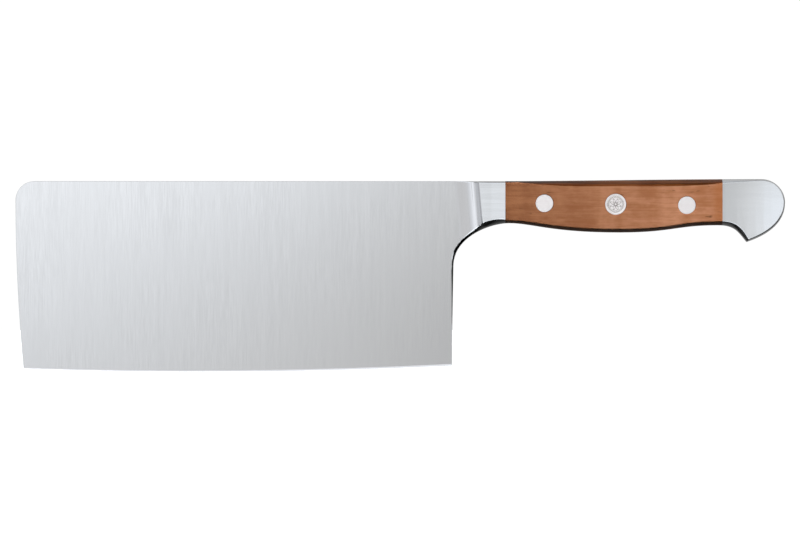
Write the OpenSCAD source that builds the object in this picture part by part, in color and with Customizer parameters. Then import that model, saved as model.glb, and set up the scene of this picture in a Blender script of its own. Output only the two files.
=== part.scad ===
// A forged kitchen cleaver: blade, bolsters and full tang in one forging, two wooden scales, three rivets.
// The blade points to -X with its spine up, and the lowest point of its edge lies on the plane z = 0.
// The origin is under the middle of the knife's length, in its middle plane.

/* [Blade] */
// Length of the blade from its front end to the heel
blade_length = 180; // [165:1:200]
// Height of the spine above the lowest point of the edge
spine_height = 78.6; // [74:0.1:88]
// Thickness of the spine at the heel
heel_spine_t = 3; // [2.6:0.1:3.6]
// Thickness of the spine at the front end
front_spine_t = 2.7; // [2.2:0.1:3.2]
// Thickness behind the bevel at the front end
behind_bevel_t = 0.25; // [0.2:0.05:0.4]
// Angle between each bevel and the middle plane
bevel_angle = 22; // [15:1:25]
// Rise of the front end of the edge above its lowest point
toe_rise = 1.3; // [0.8:0.05:3]
// Rise of the heel above the lowest point of the edge
heel_rise = 2.45; // [1:0.05:3.5]
// Radius of the corner between the spine and the front end
nose_r = 7.8; // [5:0.2:12]
// How far the front end falls back from top to bottom
front_lean = 3.3; // [1:0.1:6]
// How far the back of the heel leans out by the time it reaches the hollow
heel_lean = 0.5; // [0:0.1:1.5]
// Crown ground on the spine at the heel
spine_crown = 0.1; // [0.1:0.05:0.5]

/* [Front bolster] */
// Distance along the spine from the heel to the side face of the bolster
neck_length = 11; // [9.5:0.1:14]
// Length of the side face of the bolster along the spine
bolster_length = 10.9; // [9:0.1:14]
// Thickness of the bolster
bolster_t = 14.8; // [13:0.2:16]
// Height of the bolster where it meets the scales
bolster_height = 17.35; // [16:0.05:20]
// How far the front of the side face leans back over the height of the bolster
bolster_lean = 1.5; // [0:0.1:3]
// Radius of the hollow that rises from the blade to the side face
hollow_r = 11.3; // [9.5:0.1:14]
// Depth of the finger hollow behind the heel, from the spine to where it starts
choil_depth = 34.9; // [30:0.2:40]
// Largest crown under the bolster
bolster_crown = 3; // [1.8:0.1:3.4]

/* [Grip] */
// Length of the wooden scales
scale_length = 89.4; // [82:0.2:100]
// Thickness of the handle at its widest
grip_t = 18.8; // [17:0.2:21]
// Height of the handle at its belly
belly_height = 21.7; // [20:0.1:25]
// Height of the handle where it meets the rear bolster
rear_height = 19.05; // [18:0.05:21]
// Thickness of the tang
tang_t = 3.2; // [2.6:0.1:4]
// Crown along the underside of the scales
under_crown = 1.4; // [0.8:0.1:2]
// Crown along the top of the scales, at the middle
top_crown = 1.9; // [1:0.1:2.4]

/* [Rear bolster] */
// Length of the rear bolster from the scales to its end
pommel_length = 26; // [24:0.1:32]
// How much the handle rises from the spine to the rear bolster
pommel_rise = 0.85; // [0:0.05:2]
// Distance from the scales to the tip of the beak
beak_reach = 10.1; // [9:0.1:13]
// Depth from the top of the rear bolster to the tip of the beak
beak_depth = 26; // [24:0.1:30]
// Thickness of the rear bolster at its end
pommel_end_t = 14.4; // [12:0.2:16]
// Depth from the top of the rear bolster to the rearmost point of its end
end_drop = 9.7; // [8:0.1:13]
// Length over which the top of the rear bolster rounds down to its end
end_round = 9.8; // [7:0.1:13]
// Crown in the hollow under the rear bolster
beak_crown = 1.8; // [1:0.1:2.2]
// Crown around the end of the rear bolster
end_crown = 0.8; // [0.4:0.1:1.2]

/* [Rivets] */
// Diameter of the front and rear rivet heads
rivet_head_d = 7.2; // [6:0.1:8]
// Diameter of the middle rivet head
middle_head_d = 8.6; // [7:0.1:10]
// Thickness of the rivet heads
rivet_head_t = 2; // [1.2:0.1:2.4]
// Outer diameter of the rivet sleeves
sleeve_d = 5; // [4.5:0.1:5.4]
// Diameter of the rivet studs
stud_d = 3.2; // [2.6:0.1:3.8]
// Distance from the front bolster to the front rivet
first_rivet = 16.1; // [12:0.1:20]
// Distance from the rear rivet to the rear bolster
last_rivet = 14.7; // [11:0.1:20]
// Depth of the front rivet below the spine
front_rivet_drop = 9.2; // [8:0.1:10]
// Depth of the rear rivet below the spine
rear_rivet_drop = 10; // [8:0.1:11]
// Clearance around each rivet head and sleeve
rivet_clearance = 0.05; // [0.02:0.01:0.1]
// Clearance between each stud and its sleeve
stud_clearance = 0.02; // [0.01:0.01:0.05]

/* [Hidden] */

steel = [0.78, 0.79, 0.8];
nickel = [0.92, 0.89, 0.88];
pearwood = [0.63, 0.42, 0.3];

// Places along the knife, counted from the front end of the blade.
bolster_start = blade_length + neck_length;
scale_start = bolster_start + bolster_length;
scale_end = scale_start + scale_length;
knife_length = scale_end + pommel_length;
handle_top = spine_height + pommel_rise;

// What every cutting shape runs past the surface that it cuts.
overrun = 4;
// What the rough forging has outside the finished outline.
stock = 1.2;
// How far the cutting shapes run below the edge.
edge_overrun = 2;

function mix(a, b, share) = a + (b - a) * share;

// A point on a cubic curve, and a whole curve without its last point.
function on_curve(p, t) =
    pow(1 - t, 3) * p[0] + 3 * pow(1 - t, 2) * t * p[1] + 3 * (1 - t) * pow(t, 2) * p[2] + pow(t, 3) * p[3];
function curve(p, steps) = [for (i = [0:steps - 1]) on_curve(p, i / steps)];

// Each flat of the blade is a plane. Its half thickness grows towards the heel and towards the spine.
face_run = (heel_spine_t - front_spine_t) / 2 / blade_length;
face_rise = (front_spine_t - behind_bevel_t) / 2 / spine_height;
function blade_half(x, z) = behind_bevel_t / 2 + face_run * x + face_rise * z;

// The edge is one arc through the toe and the heel that touches z = 0.
toe_x = front_lean;
edge_span = blade_length - toe_x;
rise_share = heel_rise / toe_rise;
span_term = pow(edge_span, 2) - toe_rise * heel_rise + pow(heel_rise, 2);
toe_to_low = span_term / (edge_span + sqrt(pow(edge_span, 2) - (1 - rise_share) * span_term));
edge_r = (pow(toe_to_low, 2) + pow(toe_rise, 2)) / (2 * toe_rise);
edge_low_x = toe_x + toe_to_low;

// The front end is an arc that leaves the nose corner straight down.
front_drop = spine_height - nose_r - toe_rise;
front_r = (pow(front_drop, 2) + pow(front_lean, 2)) / (2 * front_lean);
function on_front(angle) = [front_r * (1 - cos(angle)), spine_height - nose_r - front_r * sin(angle)];
front_turn = asin((spine_height - nose_r + edge_overrun) / front_r);

// Half thickness of the handle in plan, as points [x, half thickness].
widest_x = mix(scale_start, scale_end, 0.68);
plan_steps = 12;
plan_swell = widest_x - bolster_start;
plan_fall = knife_length - widest_x;
plan_edge = concat(
    [[-overrun, bolster_t / 2]],
    curve([
        [bolster_start, bolster_t / 2],
        [bolster_start + 0.3 * plan_swell, bolster_t / 2],
        [widest_x - 0.5 * plan_swell, grip_t / 2],
        [widest_x, grip_t / 2]
    ], plan_steps),
    curve([
        [widest_x, grip_t / 2],
        [widest_x + 0.55 * plan_fall, grip_t / 2],
        [knife_length - 0.2 * plan_fall, mix(pommel_end_t, grip_t, 0.7) / 2],
        [knife_length, pommel_end_t / 2]
    ], plan_steps),
    [[knife_length, pommel_end_t / 2], [knife_length + overrun, pommel_end_t / 2]]
);
function handle_half(x) = lookup(x, plan_edge);

// The hollow is an arc in plan that leaves the flat of the blade and ends at the side face of the bolster.
hollow_rise = bolster_t / 2 - blade_half(bolster_start, spine_height);
hollow_run = sqrt(pow(hollow_r, 2) - pow(hollow_r - hollow_rise, 2));
lean_angle = atan(bolster_lean / bolster_height);

// Half thickness of the finished forging at a place on its outline.
function hollow_at(run) =
    run <= 0 ? 0 : run >= hollow_run ? hollow_rise : hollow_r - sqrt(pow(hollow_r, 2) - pow(run, 2));
function lean_at(z) = (spine_height - z) * bolster_lean / bolster_height;
function body_half(x, z) =
    x >= bolster_start + lean_at(z)
        ? handle_half(x)
        : blade_half(x, z) + hollow_at(x - lean_at(z) - bolster_start + hollow_run);

// The outline of the knife in two runs of points [x, z, crown]. The crown is how far the ground edge
// stands back at the sides of the steel or wood, from its ridge in the middle plane.
choil_z = spine_height - choil_depth;
crest_z = spine_height - bolster_height;
crest_x = scale_start + 0.15 * bolster_length;
belly_x = mix(scale_start, scale_end, 0.525);
belly_z = spine_height + 0.6 * pommel_rise - belly_height;
hump_x = mix(scale_start, scale_end, 0.98);
hump_z = handle_top - rear_height;
beak = [scale_end + beak_reach, handle_top - beak_depth];
choil_run = crest_x - blade_length - heel_lean;
heel_half = blade_half(blade_length, heel_rise);

under_run = concat(
    curve([
        [blade_length, -edge_overrun, 0.1 * heel_half],
        [blade_length, 0.4 * choil_z, 0.2 * heel_half],
        [blade_length + 0.5 * heel_lean, 0.75 * choil_z, 0.1 * bolster_crown],
        [blade_length + heel_lean, choil_z, 0.23 * bolster_crown]
    ], 6),
    curve([
        [blade_length + heel_lean, choil_z, 0.23 * bolster_crown],
        [blade_length + 1.5 * heel_lean, mix(choil_z, crest_z, 0.69), 0.2 * bolster_crown],
        [crest_x - 0.33 * choil_run, crest_z, 1.45 * bolster_crown],
        [crest_x, crest_z, 0.75 * under_crown]
    ], 28),
    curve([
        [crest_x, crest_z, 0.75 * under_crown],
        [mix(crest_x, belly_x, 0.21), crest_z, under_crown],
        [mix(crest_x, belly_x, 0.38), belly_z, under_crown],
        [belly_x, belly_z, under_crown]
    ], 16),
    curve([
        [belly_x, belly_z, under_crown],
        [mix(belly_x, hump_x, 0.54), belly_z, under_crown],
        [mix(belly_x, hump_x, 0.58), hump_z, under_crown],
        [hump_x, hump_z, 1.1 * under_crown]
    ], 14),
    curve([
        [hump_x, hump_z, 1.1 * under_crown],
        [mix(hump_x, beak.x, 0.59), hump_z, beak_crown],
        [mix(hump_x, beak.x, 0.7), mix(hump_z, beak.y, 0.37), 1.1 * beak_crown],
        [beak.x, beak.y, 0.6 * beak_crown]
    ], 16),
    [[beak.x, beak.y, 0.6 * beak_crown]]
);

end_z = handle_top - end_drop;
spine_share = spine_crown / heel_spine_t;
function on_nose(angle) = [nose_r * (1 - sin(angle)), spine_height - nose_r * (1 - cos(angle))];
over_run = concat(
    curve([
        [beak.x, beak.y, end_crown],
        [mix(beak.x, knife_length, 0.43), mix(beak.y, end_z, 0.14), end_crown],
        [knife_length, mix(beak.y, end_z, 0.42), end_crown],
        [knife_length, end_z, 0.8 * end_crown]
    ], 14),
    curve([
        [knife_length, end_z, 0.8 * end_crown],
        [knife_length, mix(end_z, handle_top, 0.55), 0.7 * end_crown],
        [knife_length - 0.45 * end_round, handle_top, 0.7 * end_crown],
        [knife_length - end_round, handle_top, 0.7 * end_crown]
    ], 16),
    curve([
        [knife_length - end_round, handle_top, 0.7 * end_crown],
        [mix(scale_start, knife_length - end_round, 0.6), handle_top, 1.8 * top_crown],
        [mix(scale_start, knife_length - end_round, 0.24), spine_height, 1.15 * top_crown],
        [scale_start, spine_height, end_crown]
    ], 24),
    curve([
        [scale_start, spine_height, end_crown],
        [bolster_start, spine_height, end_crown],
        [bolster_start - 0.5 * hollow_run, spine_height, spine_crown],
        [bolster_start - 1.1 * hollow_run, spine_height, spine_crown]
    ], 12),
    [
        [bolster_start - 1.1 * hollow_run, spine_height, spine_crown],
        [mix(nose_r, blade_length, 0.5), spine_height, spine_crown]
    ],
    [for (angle = [0:9:90]) concat(on_nose(angle), [spine_share * front_spine_t])],
    [
        for (i = [1:8])
            let (at = on_front(front_turn * i / 8))
                [at.x, at.y, spine_share * 2 * blade_half(at.x, at.y)]
    ]
);

// A ring of the grinding shape at one place of a run: the crown from side to side, then two far points.
crown_power = 2.4;
reach_share = 1.1;
crown_steps = 12;
function flat(p) = [p.x, p.y];
function unit(v) = v / norm(v);
function lengthened(run) = let (last = len(run) - 1)
    concat(
        [concat(flat(run[0]) - overrun / 2 * unit(flat(run[1]) - flat(run[0])), [run[0].z])],
        run,
        [concat(flat(run[last]) + overrun / 2 * unit(flat(run[last]) - flat(run[last - 1])), [run[last].z])]
    );
function ring(run, i) =
    let (
        at = run[i],
        ahead = run[min(i + 1, len(run) - 1)],
        behind = run[max(i - 1, 0)],
        along = unit(flat(ahead) - flat(behind)),
        inward = [-along.y, along.x],
        half = body_half(at.x, at.y),
        far = -overrun * inward,
        side = grip_t / 2 + overrun
    )
    concat(
        [
            for (k = [0:crown_steps])
                let (
                    share = reach_share * (2 * k / crown_steps - 1),
                    depth = at.z * pow(abs(share), crown_power)
                )
                    [at.x + inward.x * depth, half * share, at.y + inward.y * depth]
        ],
        [[at.x + far.x, side, at.y + far.y], [at.x + far.x, -side, at.y + far.y]]
    );
function rings(run) = [for (i = [0:len(run) - 1]) ring(run, i)];

under_rings = rings(lengthened(under_run));
over_rings = rings(lengthened(over_run));

// The solid through a row of rings. Its ends are fans of triangles from the last far point.
module through(row) {
    size = crown_steps + 3;
    last = len(row) - 1;
    points = [for (r = row) each r];
    sides = [
        for (i = [0:last - 1], k = [0:size - 1])
            let (a = i * size + k, b = i * size + (k + 1) % size)
                each [[a, b, b + size], [a, b + size, a + size]]
    ];
    ends = [
        for (k = [0:size - 3])
            each [[size - 1, k + 1, k], [last * size + size - 1, last * size + k, last * size + k + 1]]
    ];
    polyhedron(points, concat(sides, ends), convexity = 6);
}

// What is given, ground to the finished outline with its crown, between two places along the knife.
module ground(from, to) {
    difference() {
        difference() {
            children();
            through([for (r = under_rings) if (r[0].x > from && r[0].x < to) r]);
        }
        through([for (r = over_rings) if (r[0].x > from && r[0].x < to) r]);
    }
}

// The rough side outline, a little larger than the finished one.
function outside(run) =
    let (last = len(run) - 1)
    [
        for (i = concat([for (k = [0:3:last - 1]) k], [last]))
            let (along = unit(flat(run[min(i + 1, last)]) - flat(run[max(i - 1, 0)])))
                flat(run[i]) + stock * [along.y, -along.x]
    ];
module side_stock() {
    rotate([90, 0, 0])
        linear_extrude(grip_t + overrun, center = true)
            polygon(concat(outside(under_run), outside(over_run)));
}

// The handle's thickness in plan.
module plan_stock() {
    far_edge = [for (i = [len(plan_edge) - 1:-1:0]) [plan_edge[i].x, -plan_edge[i].y]];
    translate([0, 0, -overrun])
        linear_extrude(handle_top + 2 * overrun)
            polygon(concat(plan_edge, far_edge));
}

// What is ground away beside the blade on its +Y side, in plan: down to the flat, then along the hollow.
// Lengths are counted from the front of the bolster's side face.
module beside_profile() {
    ahead = bolster_start + 2 * overrun;
    translate([-ahead, 0])
        square([ahead - hollow_run, bolster_t]);
    intersection() {
        translate([-hollow_run, hollow_r])
            circle(r = hollow_r, $fn = 180);
        translate([-hollow_run - overrun, 0])
            square([hollow_run + 2 * overrun, bolster_t / 2 + overrun / 4]);
    }
}
module beside_blade() {
    tilt = norm([face_run, 1, face_rise]);
    translate([0, behind_bevel_t / 2, 0])
        rotate([-atan(face_rise), 0, 0])
            rotate([0, 0, asin(face_run / tilt)])
                translate([bolster_start, 0, spine_height])
                    rotate([0, -lean_angle, 0])
                        linear_extrude(3 * spine_height, center = true)
                            beside_profile();
}

// What is ground away outside the two bevels, which meet at the edge.
module beside_bevels() {
    zone = heel_rise + overrun;
    cone_h = heel_spine_t;
    difference() {
        translate([-overrun, -cone_h / 2, -overrun])
            cube([blade_length + 2 * overrun, cone_h, zone + overrun]);
        translate([edge_low_x, 0, edge_r])
            for (turn = [90, -90])
                rotate([turn, 0, 0])
                    cylinder(h = cone_h, r1 = edge_r, r2 = edge_r - cone_h / tan(bevel_angle), $fn = 720);
    }
}

// The rivets stand along Y. Each is a stud in a sleeve, with a flush head on both sides.
function rivet_x(i) = mix(scale_start + first_rivet, scale_end - last_rivet, i / 2);
function rivet_z(i) = spine_height - mix(front_rivet_drop, rear_rivet_drop, i / 2);
function head_d(i) = i == 1 ? middle_head_d : rivet_head_d;
function under_head(i) = handle_half(rivet_x(i)) - rivet_head_t;
// From the blind end of a stud or sleeve to half way into its own head.
function shank_length(i) = 2 * under_head(i) - rivet_end_gap + rivet_head_t / 2;
rivet_end_gap = 0.5;
hole_fn = 96;

module at_rivet(i, side) {
    translate([rivet_x(i), 0, rivet_z(i)])
        rotate([-90 * side, 0, 0])
            children();
}
module rivet_head(i, side) {
    intersection() {
        plan_stock();
        at_rivet(i, side)
            translate([0, 0, under_head(i)])
                cylinder(h = rivet_head_t + overrun, d = head_d(i), $fn = hole_fn);
    }
}
module rivet_stud(i) {
    rivet_head(i, -1);
    at_rivet(i, -1)
        translate([0, 0, rivet_end_gap - under_head(i)])
            cylinder(h = shank_length(i), d = stud_d, $fn = hole_fn);
}
module rivet_sleeve(i) {
    rivet_head(i, 1);
    difference() {
        at_rivet(i, 1)
            translate([0, 0, rivet_end_gap - under_head(i)])
                cylinder(h = shank_length(i), d = sleeve_d, $fn = hole_fn);
        at_rivet(i, 1)
            translate([0, 0, -under_head(i)])
                cylinder(h = 2 * under_head(i), d = stud_d + 2 * stud_clearance, $fn = hole_fn);
    }
}
module sleeve_holes() {
    for (i = [0:2])
        at_rivet(i, 1)
            cylinder(h = 2 * grip_t, d = sleeve_d + 2 * rivet_clearance, center = true, $fn = hole_fn);
}
module head_holes() {
    for (i = [0:2])
        at_rivet(i, 1)
            translate([0, 0, under_head(i)])
                cylinder(h = grip_t, d = head_d(i) + 2 * rivet_clearance, $fn = hole_fn);
}

module both_sides() {
    children();
    mirror([0, 1, 0])
        children();
}
module scale_space() {
    translate([scale_start, tang_t / 2, 0])
        cube([scale_length, grip_t, handle_top + overrun]);
}
module scale_body() {
    difference() {
        ground(scale_start - overrun, scale_end + overrun)
            intersection() {
                side_stock();
                plan_stock();
                scale_space();
            }
        sleeve_holes();
        head_holes();
    }
}

module rough_forging() {
    difference() {
        intersection() {
            side_stock();
            plan_stock();
        }
        both_sides() {
            beside_blade();
            scale_space();
        }
    }
}

// The finished pieces, moved so that the origin is under the middle of the knife.
module placed() {
    translate([-knife_length / 2, 0, 0])
        children();
}

module blade_forging() {
    color(steel)
        placed()
            difference() {
                difference() {
                    ground(-2 * overrun, knife_length + 2 * overrun)
                        rough_forging();
                    beside_bevels();
                }
                sleeve_holes();
            }
}

module right_scale() {
    color(pearwood)
        placed()
            scale_body();
}
module left_scale() {
    color(pearwood)
        placed()
            mirror([0, 1, 0])
                scale_body();
}

module front_rivet_stud() {
    color(nickel)
        placed()
            rivet_stud(0);
}
module front_rivet_sleeve() {
    color(nickel)
        placed()
            rivet_sleeve(0);
}
module middle_rivet_stud() {
    color(nickel)
        placed()
            rivet_stud(1);
}
module middle_rivet_sleeve() {
    color(nickel)
        placed()
            rivet_sleeve(1);
}
module rear_rivet_stud() {
    color(nickel)
        placed()
            rivet_stud(2);
}
module rear_rivet_sleeve() {
    color(nickel)
        placed()
            rivet_sleeve(2);
}

blade_forging();
left_scale();
right_scale();
front_rivet_stud();
front_rivet_sleeve();
middle_rivet_stud();
middle_rivet_sleeve();
rear_rivet_stud();
rear_rivet_sleeve();
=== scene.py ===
import math

import bmesh
import bpy
from mathutils import Matrix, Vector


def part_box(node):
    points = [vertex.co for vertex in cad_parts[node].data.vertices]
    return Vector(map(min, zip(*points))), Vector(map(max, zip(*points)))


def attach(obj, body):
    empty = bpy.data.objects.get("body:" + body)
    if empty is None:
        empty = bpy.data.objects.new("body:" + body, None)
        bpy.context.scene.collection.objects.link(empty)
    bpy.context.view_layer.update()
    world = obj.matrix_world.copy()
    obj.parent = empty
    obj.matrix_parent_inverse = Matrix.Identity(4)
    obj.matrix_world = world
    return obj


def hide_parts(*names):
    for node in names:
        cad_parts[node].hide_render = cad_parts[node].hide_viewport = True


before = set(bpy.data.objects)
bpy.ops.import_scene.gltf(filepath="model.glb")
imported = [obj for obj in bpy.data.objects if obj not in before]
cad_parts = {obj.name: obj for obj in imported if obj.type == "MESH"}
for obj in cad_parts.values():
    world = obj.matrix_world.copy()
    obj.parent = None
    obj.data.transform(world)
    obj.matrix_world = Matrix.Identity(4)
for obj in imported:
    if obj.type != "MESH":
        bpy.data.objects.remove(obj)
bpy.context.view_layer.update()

MM = 0.001
scene = bpy.context.scene

# Places on the knife: its edge is down, its blade points to -X, and the photographed side faces -Y
knife_low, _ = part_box("blade_forging")
wood_low, wood_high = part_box("left_scale")
heel_x = knife_low.x + 180 * MM
bolster_x = heel_x + 11 * MM
hollow_end_x = bolster_x + 1.3 * MM

# Heights on the forging, and how far before the heel its underside starts
BEVEL_TOP = 4 * MM
DARK_FROM = 20 * MM
HOLLOW_LOW = 50 * MM
CHOIL_TOP = 60 * MM
DARK_BEFORE_HEEL = 8 * MM

# How close wood and steel are where they touch, and a little more than half the tang's thickness
TOUCHING = 0.1 * MM
TANG_SIDE = 2 * MM

# What joins the loose triangles of the solids, and what counts as flat or as a seam
WELD = 0.01 * MM
FLAT_ANGLE = math.radians(0.2)
SEAM_ANGLE = math.radians(14)
SHORT_SEAM = 0.15 * MM

# How far the seams are rounded. The heel's rounding is the widest, and fades towards the edge and the choil.
STEEL_ROUND = 0.28 * MM
HEEL_ROUND = 0.5 * MM
HEEL_BEFORE = 1.5 * MM
HEEL_DEPTH = 2.6 * MM
HEEL_FADE = 2 * MM
HEEL_ROUND_FROM = 10 * MM
HEEL_ROUND_RISE = 30 * MM
WOOD_ROUND = 0.36 * MM
RIVET_ROUND = 0.16 * MM
FULL_ROUND_FROM = 5 * MM

# The struck head of the middle rivet
HEAD_OUTSIDE = 8 * MM
RIVET_RIM = 0.55 * MM
RIM_STEP = 0.02 * MM
STRUCK_DEPTH = 0.2 * MM
RELIEF_OVERLAP = 1.015


# Node helpers

def place(tree, kind, **values):
    """A new node of that kind. Names that are its properties are set on it, others are its inputs."""
    node = tree.nodes.new(kind)
    for name, value in values.items():
        if hasattr(node, name):
            setattr(node, name, value)
        else:
            node.inputs[name.replace("_", " ")].default_value = value
    return node


def feed(tree, slot, value):
    """Links a node's input to a socket, or sets it to a number or a colour."""
    if isinstance(value, bpy.types.NodeSocket):
        tree.links.new(value, slot)
    elif slot.type == "RGBA":
        slot.default_value = (*value, 1)
    else:
        slot.default_value = value


def maths(tree, operation, first, second=None, third=None, clamp=False):
    """The output of a Math node on sockets or numbers."""
    node = place(tree, "ShaderNodeMath", operation=operation, use_clamp=clamp)
    for slot, value in zip(node.inputs, (first, second, third)):
        if value is not None:
            feed(tree, slot, value)
    return node.outputs[0]


def blended(tree, factor, first, second, blend_type="MIX"):
    """The output of a colour Mix node on sockets or colours."""
    node = place(tree, "ShaderNodeMix", data_type="RGBA", blend_type=blend_type)
    for index, value in ((0, factor), (6, first), (7, second)):
        feed(tree, node.inputs[index], value)
    return node.outputs[2]


def between(tree, factor, first, second):
    """The output of a number Mix node on sockets or numbers."""
    node = place(tree, "ShaderNodeMix", data_type="FLOAT")
    for index, value in ((0, factor), (2, first), (3, second)):
        feed(tree, node.inputs[index], value)
    return node.outputs[0]


def ranged(tree, value, low, high, to_low=0.0, to_high=1.0, smooth=True):
    """A value carried from low..high to to_low..to_high, clamped."""
    node = place(tree, "ShaderNodeMapRange", interpolation_type="SMOOTHSTEP" if smooth else "LINEAR")
    tree.links.new(value, node.inputs[0])
    for slot, number in zip(list(node.inputs)[1:5], (low, high, to_low, to_high)):
        slot.default_value = number
    return node.outputs[0]


def stretched_noise(tree, where, counts, detail=2, roughness=0.5, distortion=0.0):
    """Noise with so many blotches per metre along X, Y and Z."""
    at = place(tree, "ShaderNodeMapping", Scale=counts)
    tree.links.new(where, at.inputs["Vector"])
    noise = place(tree, "ShaderNodeTexNoise", Scale=1, Detail=detail, Roughness=roughness)
    noise.inputs["Distortion"].default_value = distortion
    tree.links.new(at.outputs[0], noise.inputs["Vector"])
    return noise.outputs[0]


def new_group(name, inputs, outputs):
    """A shader node group with number and vector sockets, and its two end nodes."""
    group = bpy.data.node_groups.new(name, "ShaderNodeTree")
    kinds = {"float": "NodeSocketFloat", "vector": "NodeSocketVector"}
    for label, kind, value in inputs:
        socket = group.interface.new_socket(label, in_out="INPUT", socket_type=kinds[kind])
        if value is not None:
            socket.default_value = value
    for label, kind in outputs:
        group.interface.new_socket(label, in_out="OUTPUT", socket_type=kinds[kind])
    return group, group.nodes.new("NodeGroupInput"), group.nodes.new("NodeGroupOutput")


def placed_group(tree, group, where, **values):
    """One use of a group in a material, with its own values."""
    node = place(tree, "ShaderNodeGroup", node_tree=group)
    tree.links.new(where, node.inputs["Vector"])
    for name, value in values.items():
        node.inputs[name.replace("_", " ")].default_value = value
    return node


# Effects that more than one material uses

def grinding_lines():
    """Fine lines left by a belt, stronger in some patches. Lines are counted per metre along each axis."""
    group, start, end = new_group(
        "grinding_lines",
        [("Vector", "vector", None), ("Across", "vector", (2500, 30, 30)), ("Coarse share", "float", 0.35)],
        [("Height", "float"), ("Streak", "float")],
    )
    scaled = place(group, "ShaderNodeVectorMath", operation="MULTIPLY")
    group.links.new(start.outputs["Vector"], scaled.inputs[0])
    group.links.new(start.outputs["Across"], scaled.inputs[1])
    fine = place(group, "ShaderNodeTexNoise", Scale=1, Detail=3, Roughness=0.65)
    group.links.new(scaled.outputs[0], fine.inputs["Vector"])
    coarse_at = place(group, "ShaderNodeVectorMath", operation="SCALE", Scale=0.21)
    group.links.new(scaled.outputs[0], coarse_at.inputs[0])
    coarse = place(group, "ShaderNodeTexNoise", Scale=1, Detail=2, Roughness=0.5)
    group.links.new(coarse_at.outputs[0], coarse.inputs["Vector"])
    mixed = between(group, start.outputs["Coarse share"], fine.outputs[0], coarse.outputs[0])
    patches = place(group, "ShaderNodeTexNoise", Scale=35, Detail=1, Roughness=0.5)
    group.links.new(start.outputs["Vector"], patches.inputs["Vector"])
    strength = ranged(group, patches.outputs[0], 0.35, 0.65, 0.35, 1)
    swing = maths(group, "MULTIPLY", maths(group, "SUBTRACT", mixed, 0.5), strength)
    height = maths(group, "ADD", swing, 0.5)
    group.links.new(height, end.inputs["Height"])
    group.links.new(ranged(group, height, 0.35, 0.65), end.inputs["Streak"])
    return group


def ground_swell():
    """No ground side is a perfect plane: it bulges a little, by Bend per metre away from Middle."""
    group, start, end = new_group(
        "ground_swell",
        [("Vector", "vector", None), ("Middle", "vector", (0, 0, 0)), ("Bend", "vector", (0, 0, 0))],
        [("Height", "float")],
    )
    away = place(group, "ShaderNodeVectorMath", operation="SUBTRACT")
    group.links.new(start.outputs["Vector"], away.inputs[0])
    group.links.new(start.outputs["Middle"], away.inputs[1])
    squared = place(group, "ShaderNodeVectorMath", operation="MULTIPLY")
    for slot in squared.inputs[:2]:
        group.links.new(away.outputs[0], slot)
    fallen = place(group, "ShaderNodeVectorMath", operation="DOT_PRODUCT")
    group.links.new(squared.outputs[0], fallen.inputs[0])
    group.links.new(start.outputs["Bend"], fallen.inputs[1])
    group.links.new(maths(group, "MULTIPLY", fallen.outputs["Value"], -0.5), end.inputs["Height"])
    return group


LINES = grinding_lines()
SWELL = ground_swell()


def new_material(name):
    """An empty material: its tree, its Principled BSDF and its Object coordinates."""
    material = bpy.data.materials.new(name)
    material.use_nodes = True
    tree = material.node_tree
    shader = tree.nodes["Principled BSDF"]
    where = place(tree, "ShaderNodeTexCoord").outputs["Object"]
    return material, tree, shader, where


def bumped(tree, shader, height, distance, strength, under=None):
    """Bumps a shader by a height in metres, over another normal if there is one."""
    bump = place(tree, "ShaderNodeBump", Strength=strength, Distance=distance)
    tree.links.new(height, bump.inputs["Height"])
    if under is not None:
        tree.links.new(under, bump.inputs["Normal"])
    tree.links.new(bump.outputs[0], shader.inputs["Normal"])
    return bump.outputs[0]


def steel(name, across, dark, light, rough, swing, relief, middle=(0, 0, 0), bend=(0, 0, 0), metallic=1):
    """Ground metal, whose lines run along the axis on which across counts few of them per metre."""
    material, tree, shader, where = new_material(name)
    lines = placed_group(tree, LINES, where, Across=across)
    tree.links.new(blended(tree, lines.outputs["Streak"], dark, light), shader.inputs["Base Color"])
    gloss = ranged(tree, lines.outputs["Streak"], 0, 1, rough + swing, rough - swing)
    tree.links.new(gloss, shader.inputs["Roughness"])
    shader.inputs["Metallic"].default_value = metallic
    swell = placed_group(tree, SWELL, where, Middle=middle, Bend=bend)
    swollen = bumped(tree, shader, swell.outputs["Height"], 1, 1)
    bumped(tree, shader, lines.outputs["Height"], 0.02 * MM, relief, swollen)
    return material


# The dark stripe along the top of the wood, painted shade of its crowned top, is deepest in its middle, and
# thins out towards both ends.
STRIPE_MIDDLE = 91.4 * MM
STRIPE_HALF_LENGTH = 42 * MM
STRIPE_LOW = 76.3 * MM
STRIPE_RISE = 1.5 * MM
STRIPE_WANDER = 1.6 * MM
TOP_LINE = 0.5 * MM

# Colours of the wood, each pair from dark to light
FRONT_WOOD = ((0.235, 0.086, 0.036), (0.375, 0.152, 0.066))
REAR_WOOD = ((0.40, 0.156, 0.068), (0.61, 0.282, 0.155))
RED_END = (0.40, 0.125, 0.035)
FLECK = (0.15, 0.065, 0.03)
# Colours of the painted shade along the wood's top, from dark to light
TOP_SHADE = ((0.15, 0.10, 0.03), (0.31, 0.205, 0.085))


def top_of_wood(end_x):
    """The height of the grip's top at that end."""
    corners = [vert.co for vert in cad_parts["left_scale"].data.vertices]
    return max(corner.z for corner in corners if abs(corner.x - end_x) < TOUCHING)


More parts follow.
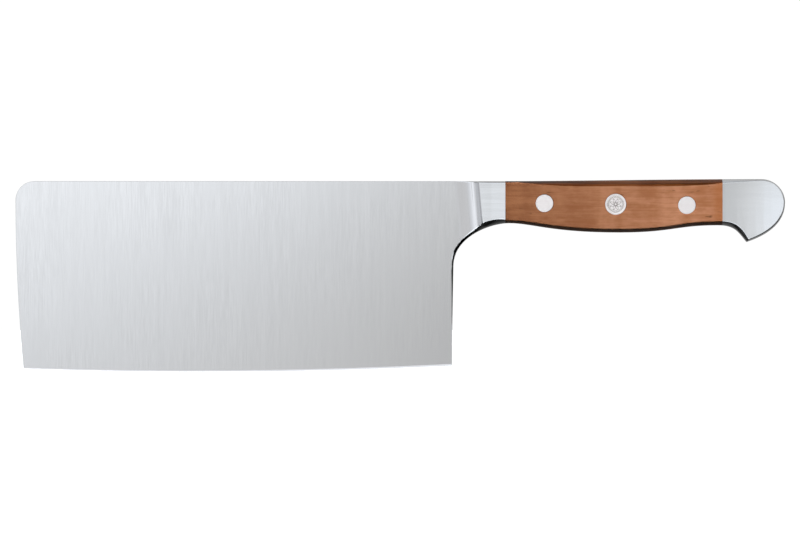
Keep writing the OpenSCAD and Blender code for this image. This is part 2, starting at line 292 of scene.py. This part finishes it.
def top_shade_mask(tree, along, up, rings):
    """Mask of the painted shade along the top, whose lower edge wanders with the rings, and of the painted
    dark line above it.
    """
    off = maths(tree, "DIVIDE", maths(tree, "SUBTRACT", along, STRIPE_MIDDLE), STRIPE_HALF_LENGTH)
    rise = maths(tree, "POWER", maths(tree, "ABSOLUTE", off), 4)
    edge = maths(tree, "MULTIPLY_ADD", rise, STRIPE_RISE, STRIPE_LOW)
    wander = maths(tree, "MULTIPLY", maths(tree, "SUBTRACT", rings, 0.5), STRIPE_WANDER)
    over = maths(tree, "ADD", maths(tree, "SUBTRACT", up, edge), wander)
    stripe = ranged(tree, over, -0.15 * MM, 0.3 * MM)
    front_top, rear_top = top_of_wood(wood_low.x) - TOP_LINE, top_of_wood(wood_high.x) - TOP_LINE
    line = ranged(tree, along, wood_low.x, wood_high.x, front_top, rear_top, smooth=False)
    top_line = ranged(tree, maths(tree, "SUBTRACT", up, line), -0.1 * MM, 0.15 * MM)
    return maths(tree, "MAXIMUM", stripe, top_line)


def pearwood():
    """Steamed pearwood: redder and lighter to the rear, with a dark stripe of painted shade along the top.
    """
    material, tree, shader, where = new_material("pearwood")
    split = place(tree, "ShaderNodeSeparateXYZ")
    tree.links.new(where, split.inputs[0])
    along, _, up = split.outputs
    rings = stretched_noise(tree, where, (14, 60, 170), detail=4, roughness=0.6, distortion=0.8)
    figure = stretched_noise(tree, where, (75, 8, 14), detail=3, roughness=0.6)
    mottle = stretched_noise(tree, where, (260, 500, 520), detail=3, roughness=0.6)
    grain = stretched_noise(tree, where, (70, 600, 1500), detail=3, roughness=0.6)
    tone = maths(tree, "ADD", maths(tree, "MULTIPLY", rings, 0.32), maths(tree, "MULTIPLY", figure, 0.32))
    tone = maths(tree, "ADD", tone, maths(tree, "MULTIPLY", mottle, 0.18))
    tone = ranged(tree, maths(tree, "ADD", tone, maths(tree, "MULTIPLY", grain, 0.18)), 0.38, 0.62)
    front = blended(tree, tone, *FRONT_WOOD)
    rear = blended(tree, tone, *REAR_WOOD)
    base = blended(tree, ranged(tree, along, wood_low.x, wood_high.x - 12 * MM, smooth=False), front, rear)
    end_red = ranged(tree, along, wood_high.x - 6 * MM, wood_high.x - 1 * MM, 0, 0.55)
    base = blended(tree, end_red, base, RED_END)
    fleck = ranged(tree, stretched_noise(tree, where, (160, 500, 900)), 0.63, 0.71)
    fleck_zone = ranged(tree, stretched_noise(tree, where, (45, 40, 130), detail=1), 0.52, 0.62)
    base = blended(tree, maths(tree, "MULTIPLY", fleck, fleck_zone), base, FLECK)
    streaks = ranged(tree, stretched_noise(tree, where, (14, 60, 1100)), 0.42, 0.58)
    top_shaded = blended(tree, 1.0, base, blended(tree, streaks, *TOP_SHADE), "MULTIPLY")
    # The top of the wood is darkened here: painted shade of its crowned top.
    base = blended(tree, top_shade_mask(tree, along, up, rings), base, top_shaded)
    tree.links.new(base, shader.inputs["Base Color"])
    tree.links.new(ranged(tree, grain, 0.3, 0.7, 0.5, 0.4), shader.inputs["Roughness"])
    shader.inputs["Specular IOR Level"].default_value = 0.03
    relief = maths(tree, "SUBTRACT", grain, maths(tree, "MULTIPLY", fleck, 0.6))
    bumped(tree, shader, relief, 0.03 * MM, 0.35)
    return material


def struck_metal(centre, outward):
    """Metal of the middle rivet's relief: bright where it stands up, and down in the field rougher and
    darker; the darker field is painted shade.
    """
    material, tree, shader, where = new_material("struck_rivet_metal")
    offset = place(tree, "ShaderNodeVectorMath", operation="SUBTRACT")
    tree.links.new(where, offset.inputs[0])
    offset.inputs[1].default_value = centre
    along = place(tree, "ShaderNodeVectorMath", operation="DOT_PRODUCT")
    tree.links.new(offset.outputs[0], along.inputs[0])
    along.inputs[1].default_value = outward
    raised = ranged(tree, along.outputs["Value"], -0.7 * STRUCK_DEPTH, -0.15 * STRUCK_DEPTH)
    grains = stretched_noise(tree, where, (5200, 5200, 5200))
    # The field's darker colour is painted shade in the sunk part; its roughness is its own duller finish.
    field = blended(tree, ranged(tree, grains, 0.4, 0.6), (0.24, 0.205, 0.18), (0.475, 0.41, 0.37))
    tree.links.new(blended(tree, raised, field, (1.0, 0.955, 0.94)), shader.inputs["Base Color"])
    tree.links.new(ranged(tree, raised, 0, 1, 0.5, 0.28), shader.inputs["Roughness"])
    shader.inputs["Metallic"].default_value = 0.7
    bumped(tree, shader, grains, 0.03 * MM, 0.5)
    return material


# Each ground surface of the forging has its own polish, and its lines run as the belt ran over it. The
# hollow's end, the crown and the underside are darker copies of the same steel: painted shade.
BLADE_STEEL = steel(
    "blade_steel", across=(1900, 40, 110), dark=(0.665, 0.665, 0.667), light=(0.718, 0.718, 0.72),
    rough=0.25, swing=0.02, relief=0.07, middle=(heel_x, 0, -0.06), bend=(1.0, 0, 1.2)
)
NECK_STEEL = steel(
    "neck_steel", across=(1800, 40, 60), dark=(0.69, 0.69, 0.70), light=(0.71, 0.71, 0.72),
    rough=0.10, swing=0.01, relief=0.03
)
# Painted shade: a darker copy of the neck's steel for the end of the hollow that looks forward
SHADED_HOLLOW_END_STEEL = steel(
    "painted_shade_hollow_end_steel", across=(1800, 40, 60), dark=(0.54, 0.54, 0.55), light=(0.57, 0.57, 0.58),
    rough=0.12, swing=0.01, relief=0.03
)
BOLSTER_STEEL = steel(
    "bolster_steel", across=(40, 900, 1300), dark=(0.905, 0.93, 0.955), light=(0.935, 0.96, 0.985),
    rough=0.13, swing=0.02, relief=0.03, middle=(0, 0, 0.07), bend=(0, 0, 2.0)
)
OUTLINE_STEEL = steel(
    "outline_steel", across=(300, 1500, 300), dark=(0.60, 0.61, 0.62), light=(0.66, 0.67, 0.68),
    rough=0.12, swing=0.02, relief=0.06
)
# Painted shade: a dark copy of the steel for the crowned top and bottom behind the bolster
SHADED_CROWN_STEEL = steel(
    "painted_shade_crown_steel", across=(300, 1500, 300), dark=(0.33, 0.335, 0.34), light=(0.38, 0.385, 0.39),
    rough=0.14, swing=0.02, relief=0.06
)
# Painted shade: a near-black copy of the steel for the outline faces that look down
SHADED_UNDERSIDE_STEEL = steel(
    "painted_shade_underside_steel", across=(300, 1500, 300), dark=(0.018, 0.0185, 0.019), light=(0.042, 0.043, 0.043),
    rough=0.2, swing=0.03, relief=0.06
)
BEVEL_STEEL = steel(
    "bevel_steel", across=(3200, 60, 60), dark=(0.80, 0.80, 0.81), light=(0.90, 0.90, 0.91),
    rough=0.32, swing=0.04, relief=0.12
)
RIVET_METAL = steel(
    "rivet_metal", across=(60, 900, 2600), dark=(0.97, 0.915, 0.90), light=(1.0, 0.955, 0.94),
    rough=0.35, swing=0.02, relief=0.015, metallic=0.6
)
PEARWOOD = pearwood()


# Finished copies of the CAD nodes

def is_seam(edge):
    """Whether two surfaces meet here at an angle. The slight folds of an upright side don't count."""
    if len(edge.link_faces) != 2 or edge.calc_face_angle() < SEAM_ANGLE:
        return False
    return not all(abs(face.normal.y) > 0.85 and abs(face.normal.z) < 0.1 for face in edge.link_faces)


def ends_side_fold(corner):
    """Whether one of the slight folds of an upright side ends at this corner."""
    folds = [edge for edge in corner.link_edges if not is_seam(edge)]
    return any(all(abs(face.normal.y) > 0.85 for face in edge.link_faces) for edge in folds)


def short_seams_closed(mesh):
    """Moves a corner of the crown onto the fold of a side that ends right beside it."""
    moved_onto = {}
    for edge in mesh.edges:
        if edge.calc_length() > SHORT_SEAM or min(corner.co.x for corner in edge.verts) < bolster_x:
            continue
        ends = sorted(edge.verts, key=ends_side_fold)
        taken = any(corner in moved_onto or corner in moved_onto.values() for corner in ends)
        if is_seam(edge) and not taken and not ends_side_fold(ends[0]) and ends_side_fold(ends[1]):
            moved_onto[ends[0]] = ends[1]
    bmesh.ops.weld_verts(mesh, targetmap=moved_onto)


def welded(node_name):
    """A CAD node's mesh with its loose triangles joined and its flats made whole."""
    mesh = bmesh.new()
    mesh.from_mesh(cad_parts[node_name].data)
    bmesh.ops.remove_doubles(mesh, verts=mesh.verts, dist=WELD)
    bmesh.ops.dissolve_limit(mesh, angle_limit=FLAT_ANGLE, verts=mesh.verts, edges=mesh.edges)
    if node_name.endswith(("forging", "scale")):
        short_seams_closed(mesh)
    mesh.normal_update()
    return mesh


def everywhere(edge):
    """Every seam is rounded in full."""
    return 1.0


def finished(shape, name, width, round_share=everywhere):
    """A plain mesh piece with rounded or sharp seams, and normals weighted so that flats stay flat."""
    weights = shape.edges.layers.float.new("bevel_weight_edge")
    for edge in shape.edges:
        if is_seam(edge):
            edge[weights] = round_share(edge)
            edge.smooth = edge[weights] > 0
    mesh = bpy.data.meshes.new(name)
    shape.to_mesh(mesh)
    shape.free()
    mesh.shade_smooth()
    piece = bpy.data.objects.new(name, mesh)
    scene.collection.objects.link(piece)
    rounding = piece.modifiers.new("rounding", "BEVEL")
    rounding.limit_method = "WEIGHT"
    rounding.width = width
    rounding.segments = 2
    rounding.use_clamp_overlap = False
    rounding.miter_outer = "MITER_ARC"
    weighting = piece.modifiers.new("weighting", "WEIGHTED_NORMAL")
    weighting.keep_sharp = True
    ready = bpy.data.meshes.new_from_object(piece.evaluated_get(bpy.context.evaluated_depsgraph_get()))
    piece.modifiers.clear()
    piece.data = ready
    ready.name = name
    return piece


def dressed(piece, slot, *nodes, materials):
    """Rides and replaces: gives a finished piece its materials, hides the nodes it replaces and attaches it
    to the root.
    """
    piece.data.materials.clear()
    for material in materials:
        piece.data.materials.append(material)
    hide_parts(*nodes)
    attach(piece, "root")


def middle_of(edge):
    """The middle of an edge."""
    return (edge.verts[0].co + edge.verts[1].co) / 2


def at_joint(middle):
    """Whether a place is where the wood's ends meet the bolsters, or its inner side meets the tang."""
    to_end = min(abs(middle.x - wood_low.x), abs(wood_high.x - middle.x))
    in_grip = wood_low.x < middle.x < wood_high.x
    return to_end < TOUCHING or in_grip and abs(middle.y) < TANG_SIDE


def heel_share(middle):
    """How much of the heel's wider rounding is here: none at the edge, all from half way up to the choil."""
    if not heel_x - HEEL_BEFORE < middle.x < heel_x + HEEL_DEPTH or middle.z > CHOIL_TOP:
        return 0.0
    risen = max(0.0, (middle.z - HEEL_ROUND_FROM) / HEEL_ROUND_RISE)
    return min(1.0, risen, (heel_x + HEEL_DEPTH - middle.x) / HEEL_FADE)


def is_cutting_edge(middle):
    """Whether a place is on the thin cutting edge."""
    return middle.z < 3.2 * MM and abs(middle.y) < 0.05 * MM


def is_bolster_seam(edge, middle):
    """Whether this is one of the upright seams where the hollow meets the front bolster."""
    height = abs(edge.verts[0].co.z - edge.verts[1].co.z)
    return abs(middle.x - bolster_x) < 3 * MM and height > 2 * MM


def forging_round(edge):
    """Rounding as a share of the heel's. The cutting edge stays sharp, and thin steel is rounded least."""
    middle = middle_of(edge)
    common = STEEL_ROUND / HEEL_ROUND
    if is_cutting_edge(middle) or at_joint(middle):
        return 0.0
    if is_bolster_seam(edge, middle):
        return 0.3 * common
    plain = min(1.0, max(0.35, abs(middle.y) / FULL_ROUND_FROM)) * common
    return max(plain, heel_share(middle))


def scale_round(edge):
    """The wood is sharp where it meets steel, and rounded along its outline."""
    return 0.0 if at_joint(middle_of(edge)) else 1.0


def is_underside(face):
    """Whether a face is of the outline that gets painted shade: up the heel, round the choil and on to the
    beak's front.
    """
    if heel_x - DARK_BEFORE_HEEL < face.center.x < wood_high.x:
        return face.normal.z < 0.2 and face.center.z > DARK_FROM
    return face.center.x > wood_high.x and face.normal.z < -0.1 and face.normal.x < 0.05


def steel_of(face):
    """The steel of a face of the forging, by where it is and which way it looks."""
    sideways = abs(face.normal.y)
    # The hollow stands upright, and its end is what looks forward more than aside; that end takes a darker
    # copy of the neck's steel, painted shade.
    in_hollow = heel_x < face.center.x < hollow_end_x and face.center.z > HOLLOW_LOW
    if in_hollow and abs(face.normal.z) < 0.12 and sideways > 0.3:
        return NECK_STEEL if sideways > 0.67 else SHADED_HOLLOW_END_STEEL
    # Behind the heel, rounded seams that look mostly aside take the bright bolster steel rather than the
    # dark crown copy: a painted highlight along the bolster's and pommel's edges.
    if sideways > (0.97 if face.center.x < heel_x + HEEL_DEPTH else 0.7):
        return BLADE_STEEL if face.center.x < heel_x else BOLSTER_STEEL
    if sideways > 0.85 and face.center.z < BEVEL_TOP:
        return BEVEL_STEEL
    # Outline faces that look down get the near-black copy, painted shade.
    if is_underside(face):
        return SHADED_UNDERSIDE_STEEL
    # Behind the bolster's front the crown gets the dark copy, painted shade.
    return SHADED_CROWN_STEEL if face.center.x > bolster_x else OUTLINE_STEEL


def forging():
    """Blade, bolsters and tang in one, each ground surface in its own steel, with darker copies of it for
    painted shade.
    """
    piece = finished(welded("blade_forging"), "ground_forging", HEEL_ROUND, forging_round)
    steels = [
        BLADE_STEEL, NECK_STEEL, BOLSTER_STEEL, OUTLINE_STEEL, BEVEL_STEEL, SHADED_HOLLOW_END_STEEL,
        SHADED_CROWN_STEEL, SHADED_UNDERSIDE_STEEL
    ]
    dressed(piece, "blade_steel", "blade_forging", materials=steels)
    for face in piece.data.polygons:
        face.material_index = steels.index(steel_of(face))


def scales():
    """The two grip scales."""
    for side in ("left", "right"):
        piece = finished(welded(f"{side}_scale"), f"{side}_pearwood_scale", WOOD_ROUND, scale_round)
        dressed(piece, "pearwood", f"{side}_scale", materials=[PEARWOOD])


# The middle rivet's relief

def dome(tree, *offsets):
    """A rounded bump, 1 in its middle and 0 where its offsets together reach 1."""
    total = 0
    for offset in offsets:
        total = maths(tree, "ADD", maths(tree, "MULTIPLY", offset, offset), total)
    return maths(tree, "SQRT", maths(tree, "SUBTRACT", 1, total, clamp=True))


def struck_rosette():
    """A disc struck with a flower of petals inside a ring of beads, facing -Y, sunk by its depth."""
    tree = bpy.data.node_groups.new("struck_rosette", "GeometryNodeTree")
    tree.interface.new_socket("Geometry", in_out="OUTPUT", socket_type="NodeSocketGeometry")
    for label, kind in (
        ("Radius", "NodeSocketFloat"), ("Depth", "NodeSocketFloat"), ("Petals", "NodeSocketInt"),
        ("Beads", "NodeSocketInt"), ("Steps", "NodeSocketInt"), ("Metal", "NodeSocketMaterial")
    ):
        tree.interface.new_socket(label, in_out="INPUT", socket_type=kind)
    start = tree.nodes.new("NodeGroupInput")
    end = tree.nodes.new("NodeGroupOutput")
    radius, depth, petals, beads, steps, metal = start.outputs[:6]

    sheet = place(tree, "GeometryNodeMeshGrid", Size_X=1, Size_Y=1, Vertices_Y=49)
    tree.links.new(maths(tree, "ADD", steps, 1), sheet.inputs["Vertices X"])
    split = place(tree, "ShaderNodeSeparateXYZ")
    tree.links.new(tree.nodes.new("GeometryNodeInputPosition").outputs[0], split.inputs[0])
    turn = maths(tree, "ADD", split.outputs[0], 0.5)
    reach = maths(tree, "ADD", split.outputs[1], 0.5)

    def arc_offset(count, half_width):
        """How far round the disc from the middle of the nearest of so many bumps, in half widths."""
        phase = maths(tree, "SUBTRACT", maths(tree, "FRACT", maths(tree, "MULTIPLY", turn, count)), 0.5)
        wide = maths(tree, "DIVIDE", maths(tree, "MULTIPLY", phase, math.tau / half_width), count)
        return maths(tree, "MULTIPLY", wide, reach)

    def reach_offset(middle, half_width):
        """How far in or out from a circle round the middle, in half widths. All are shares of the radius."""
        return maths(tree, "DIVIDE", maths(tree, "SUBTRACT", reach, middle), half_width)

    flower = dome(tree, reach_offset(0.39, 0.24), arc_offset(petals, 0.115))
    bead_ring = dome(tree, reach_offset(0.84, 0.062), arc_offset(beads, 0.062))
    plain_ring = dome(tree, reach_offset(0.71, 0.03))
    eye = dome(tree, reach_offset(0.0, 0.13))
    lift = flower
    for bump in (bead_ring, plain_ring, eye):
        lift = maths(tree, "MAXIMUM", lift, bump)
    sunk = maths(tree, "MULTIPLY", maths(tree, "MULTIPLY_ADD", lift, -0.88, 1), depth)
    below = maths(tree, "MULTIPLY", depth, 1.5)
    at_rim = maths(tree, "GREATER_THAN", reach, 0.985)
    angle = maths(tree, "MULTIPLY", turn, math.tau)
    out = maths(tree, "MULTIPLY", reach, radius)
    spot = place(tree, "ShaderNodeCombineXYZ")
    tree.links.new(maths(tree, "MULTIPLY", out, maths(tree, "COSINE", angle)), spot.inputs[0])
    tree.links.new(between(tree, at_rim, sunk, below), spot.inputs[1])
    tree.links.new(maths(tree, "MULTIPLY", out, maths(tree, "SINE", angle)), spot.inputs[2])
    formed = place(tree, "GeometryNodeSetPosition")
    tree.links.new(sheet.outputs[0], formed.inputs["Geometry"])
    tree.links.new(spot.outputs[0], formed.inputs["Position"])

    back = place(tree, "GeometryNodeMeshCircle", fill_type="NGON")
    tree.links.new(steps, back.inputs["Vertices"])
    tree.links.new(radius, back.inputs["Radius"])
    seated = place(tree, "GeometryNodeTransform")
    seated.inputs["Rotation"].default_value = (math.pi / 2, 0, 0)
    behind = place(tree, "ShaderNodeCombineXYZ")
    tree.links.new(below, behind.inputs[1])
    tree.links.new(back.outputs[0], seated.inputs["Geometry"])
    tree.links.new(behind.outputs[0], seated.inputs["Translation"])

    whole = tree.nodes.new("GeometryNodeJoinGeometry")
    tree.links.new(formed.outputs[0], whole.inputs[0])
    tree.links.new(seated.outputs[0], whole.inputs[0])
    closed = place(tree, "GeometryNodeMergeByDistance", Distance=0.001 * MM)
    tree.links.new(whole.outputs[0], closed.inputs["Geometry"])
    outward = tree.nodes.new("GeometryNodeFlipFaces")
    tree.links.new(closed.outputs[0], outward.inputs["Mesh"])
    real = tree.nodes.new("GeometryNodeRealizeInstances")
    tree.links.new(outward.outputs[0], real.inputs[0])
    coated = tree.nodes.new("GeometryNodeSetMaterial")
    tree.links.new(real.outputs[0], coated.inputs["Geometry"])
    tree.links.new(metal, coated.inputs["Material"])
    tree.links.new(coated.outputs[0], end.inputs[0])
    return tree


def made_by(tree, **values):
    """The plain mesh that a Geometry Nodes tree makes from its named inputs."""
    holder = bpy.data.objects.new("holder", bpy.data.meshes.new("holder"))
    scene.collection.objects.link(holder)
    making = holder.modifiers.new("making", "NODES")
    making.node_group = tree
    for item in tree.interface.items_tree:
        if item.in_out == "INPUT":
            making[item.identifier] = values[item.name]
    mesh = bpy.data.meshes.new_from_object(holder.evaluated_get(bpy.context.evaluated_depsgraph_get()))
    bpy.data.objects.remove(holder)
    return mesh


def struck_stud():
    """The middle stud, whose head on the photographed side is sunk inside its rim and struck."""
    shape = welded("middle_rivet_stud")
    outer = [face for face in shape.faces if face.calc_center_median().y < -HEAD_OUTSIDE]
    facets = [face for face in outer if face.normal.y < -0.97]
    head = bmesh.ops.dissolve_faces(shape, faces=facets)["region"][0]
    head.normal_update()
    centre = head.calc_center_bounds()
    outward = head.normal.copy()
    head_radius = max((vert.co - centre).length for vert in head.verts)
    bmesh.ops.inset_individual(shape, faces=[head], thickness=RIVET_RIM)
    bmesh.ops.inset_individual(shape, faces=[head], thickness=RIM_STEP, depth=-STRUCK_DEPTH)
    piece = finished(shape, "middle_rivet_stud_finished", RIVET_ROUND, round_share=lambda edge: 0.5)
    metal = struck_metal(centre, outward)
    relief = made_by(
        struck_rosette(), Radius=(head_radius - RIVET_RIM) * RELIEF_OVERLAP, Depth=STRUCK_DEPTH,
        Petals=8, Beads=32, Steps=192, Metal=metal
    )
    lean = math.atan2(outward.x, -outward.y)
    relief.transform(Matrix.Translation(centre) @ Matrix.Rotation(lean, 4, "Z"))
    for face in relief.polygons:
        face.use_smooth = True
    plain_faces = len(piece.data.polygons)
    both = bmesh.new()
    both.from_mesh(piece.data)
    both.from_mesh(relief)
    both.to_mesh(piece.data)
    both.free()
    dressed(piece, "rivet_metal", "middle_rivet_stud", materials=[RIVET_METAL, metal])
    for face in piece.data.polygons[plain_faces:]:
        face.material_index = 1


def rivets():
    """The struck stud, then the plain studs and the sleeves."""
    struck_stud()
    for node_name in (
        "front_rivet_stud", "rear_rivet_stud",
        "front_rivet_sleeve", "middle_rivet_sleeve", "rear_rivet_sleeve"
    ):
        piece = finished(welded(node_name), f"{node_name}_finished", RIVET_ROUND)
        dressed(piece, "rivet_metal", node_name, materials=[RIVET_METAL])


forging()
scales()
rivets()


# Surroundings

# Brightness seen by polished steel, by degrees round the knife: 0 is the camera's side, 90 its right.
LEVEL_AROUND = [
    (-180, 0.02), (-150, 0.03), (-134, 0.2), (-120, 0.3), (-107, 0.34), (-100, 0.38), (-96, 0.46),
    (-92, 0.66), (-88, 0.9), (-82, 1.19), (-77, 1.28), (-71, 1.22), (-66, 1.1), (-60, 0.97), (-54, 0.88),
    (-47, 0.83), (-34, 0.79), (-17, 0.78), (-5, 0.82), (-1, 0.83), (1, 0.74), (3, 0.46), (6, 0.62),
    (10, 0.76), (16, 0.92), (40, 0.92), (60, 0.85), (90, 0.7), (120, 0.55), (146, 0.4), (156, 0.02),
    (180, 0.02)
]
# The same, seen by what leans up a little, as the blade's flats do
HIGH_AROUND = [
    (-180, 0.3), (-120, 0.3), (-60, 1.0), (-34, 1.1), (-22, 1.05), (-12, 0.9), (-7, 0.8), (-2, 0.69),
    (2, 0.6), (8, 0.48), (16, 0.44), (40, 0.5), (80, 0.55), (120, 0.5), (150, 0.4), (180, 0.3)
]
# Share of it by degrees above the horizon
UPWARD = [
    (-90, 1.1), (-60, 1.5), (-36, 1.5), (-22, 1.1), (-10, 0.95), (0, 1), (3, 0.97), (5, 0.84), (11, 1.05),
    (17, 1.28), (25, 1.7), (44, 1.9), (60, 0.9), (75, 0.4), (90, 0.4)
]
# Panel behind the knife, by degrees above the horizon: straight behind, and to both sides of that
STRAIGHT_BEHIND = [
    (-90, 0.3), (-26, 0.3), (-12, 0.34), (-6, 0.5), (12, 0.54), (24, 0.8), (36, 1.0), (60, 1.05),
    (90, 0.9)
]
BESIDE_BEHIND = [(-90, 0.3), (-50, 0.3), (-20, 0.8), (12, 0.8), (30, 0.9), (90, 0.8)]
# Ring of light for what scatters it, as wood does
RING = [(-90, 0), (6, 0), (13, 3.9), (30, 3.9), (42, 0.5), (60, 0.1), (90, 0.1)]
WHITE = 1.02


def curve_of(tree, value, stops, top):
    """A smooth curve of a value in degrees, through stops of degrees and brightness."""
    first, last = stops[0][0], stops[-1][0]
    node = place(tree, "ShaderNodeFloatCurve")
    points = node.mapping.curves[0].points
    ordered = [stops[0], stops[-1], *stops[1:-1]]
    for index, (degrees, bright) in enumerate(ordered):
        at = ((degrees - first) / (last - first), bright / top)
        point = points[index] if index < 2 else points.new(*at)
        point.location = at
        point.handle_type = "AUTO_CLAMPED"
    node.mapping.update()
    tree.links.new(ranged(tree, value, first, last, smooth=False), node.inputs["Value"])
    return maths(tree, "MULTIPLY", node.outputs[0], top)


def light_before(tree, azimuth, elevation, beside):
    """What steel sees on the camera's side and at both ends, with the low corners left dark."""
    level = curve_of(tree, azimuth, LEVEL_AROUND, 1.6)
    high = curve_of(tree, azimuth, HIGH_AROUND, 1.6)
    low = ranged(tree, elevation, -22, -12, 1, 0)
    low_right = maths(tree, "MULTIPLY", ranged(tree, azimuth, 16, 30), low)
    lower = ranged(tree, elevation, -26, -10, 1, 0)
    low_aside = maths(tree, "MULTIPLY", ranged(tree, beside, 88, 104), lower)
    unshaded = maths(tree, "SUBTRACT", 1, maths(tree, "MAXIMUM", low_right, low_aside))
    share = curve_of(tree, elevation, UPWARD, 2)
    even_share = between(tree, ranged(tree, azimuth, -26, -6, 0.5, 0), share, 1.13)
    low_part = maths(tree, "MULTIPLY", level, share)
    high_part = maths(tree, "MULTIPLY", high, even_share)
    both_parts = between(tree, ranged(tree, elevation, 2.5, 5.5), low_part, high_part)
    return maths(tree, "MULTIPLY", both_parts, unshaded)


def light_behind(tree, elevation, beside):
    """What steel sees behind the knife: a panel straight behind, and another on each side of it."""
    behind = ranged(tree, beside, 158, 168)
    straight = maths(tree, "MULTIPLY", curve_of(tree, elevation, STRAIGHT_BEHIND, 1.2), behind)
    window = maths(tree, "MULTIPLY", ranged(tree, beside, 120, 130), ranged(tree, beside, 142, 154, 1, 0))
    aside = maths(tree, "MULTIPLY", curve_of(tree, elevation, BESIDE_BEHIND, 1), window)
    return maths(tree, "MAXIMUM", straight, aside)


def surroundings():
    """White for the camera, the panels for steel, and a ring of light for the wood."""
    world = bpy.data.worlds.new("white_studio")
    scene.world = world
    world.use_nodes = True
    tree = world.node_tree
    background = tree.nodes["Background"]
    split = place(tree, "ShaderNodeSeparateXYZ")
    tree.links.new(place(tree, "ShaderNodeTexCoord").outputs["Generated"], split.inputs[0])
    to_right, away, up = split.outputs
    turn = maths(tree, "ARCTAN2", to_right, maths(tree, "MULTIPLY", away, -1))
    azimuth = maths(tree, "DEGREES", turn)
    elevation = maths(tree, "DEGREES", maths(tree, "ARCSINE", up))
    beside = maths(tree, "ABSOLUTE", azimuth)
    before = light_before(tree, azimuth, elevation, beside)
    for_steel = maths(tree, "MAXIMUM", before, light_behind(tree, elevation, beside))
    far_share = ranged(tree, beside, 60, 120, 1, 0.7)
    for_wood = maths(tree, "MULTIPLY", curve_of(tree, elevation, RING, 6), far_share)
    rays = place(tree, "ShaderNodeLightPath")
    lit = between(tree, rays.outputs["Is Diffuse Ray"], for_steel, for_wood)
    shown = between(tree, rays.outputs["Is Camera Ray"], lit, WHITE)
    tree.links.new(shown, background.inputs["Strength"])
    cool = ranged(tree, lit, 0.68, 0.95)
    tree.links.new(blended(tree, cool, (1, 1, 1), (0.95, 0.98, 1.02)), background.inputs["Color"])


def floor():
    """A pale floor that throws no light or reflection on the knife."""
    mesh = bpy.data.meshes.new("pale_floor")
    half = 3.0
    corners = [(-half, -half, 0), (half, -half, 0), (half, half, 0), (-half, half, 0)]
    mesh.from_pydata(corners, [], [(0, 1, 2, 3)])
    piece = bpy.data.objects.new("pale_floor", mesh)
    scene.collection.objects.link(piece)
    material, _, shader, _ = new_material("pale_floor")
    shader.inputs["Base Color"].default_value = (0.9, 0.9, 0.9, 1)
    shader.inputs["Roughness"].default_value = 0.9
    shader.inputs["Specular IOR Level"].default_value = 0
    shader.inputs["Emission Color"].default_value = (1, 1, 1, 1)
    shader.inputs["Emission Strength"].default_value = 0.72
    mesh.materials.append(material)
    piece.visible_glossy = False
    piece.visible_diffuse = False


SEEN_WIDTH = 329.9 * MM
AIM_X = -0.12 * MM
AIM_Z = 43.4 * MM


def camera():
    """A long lens, square on to the side, that takes in the width the photograph does."""
    data = bpy.data.cameras.new("camera")
    data.lens = 500
    data.sensor_width = 36
    data.clip_end = 20
    piece = bpy.data.objects.new("camera", data)
    scene.collection.objects.link(piece)
    distance = SEEN_WIDTH * data.lens / data.sensor_width
    piece.location = (AIM_X, -distance, AIM_Z)
    piece.rotation_euler = (math.pi / 2, 0, 0)
    scene.camera = piece


surroundings()
floor()
camera()
scene.view_settings.view_transform = "Standard"
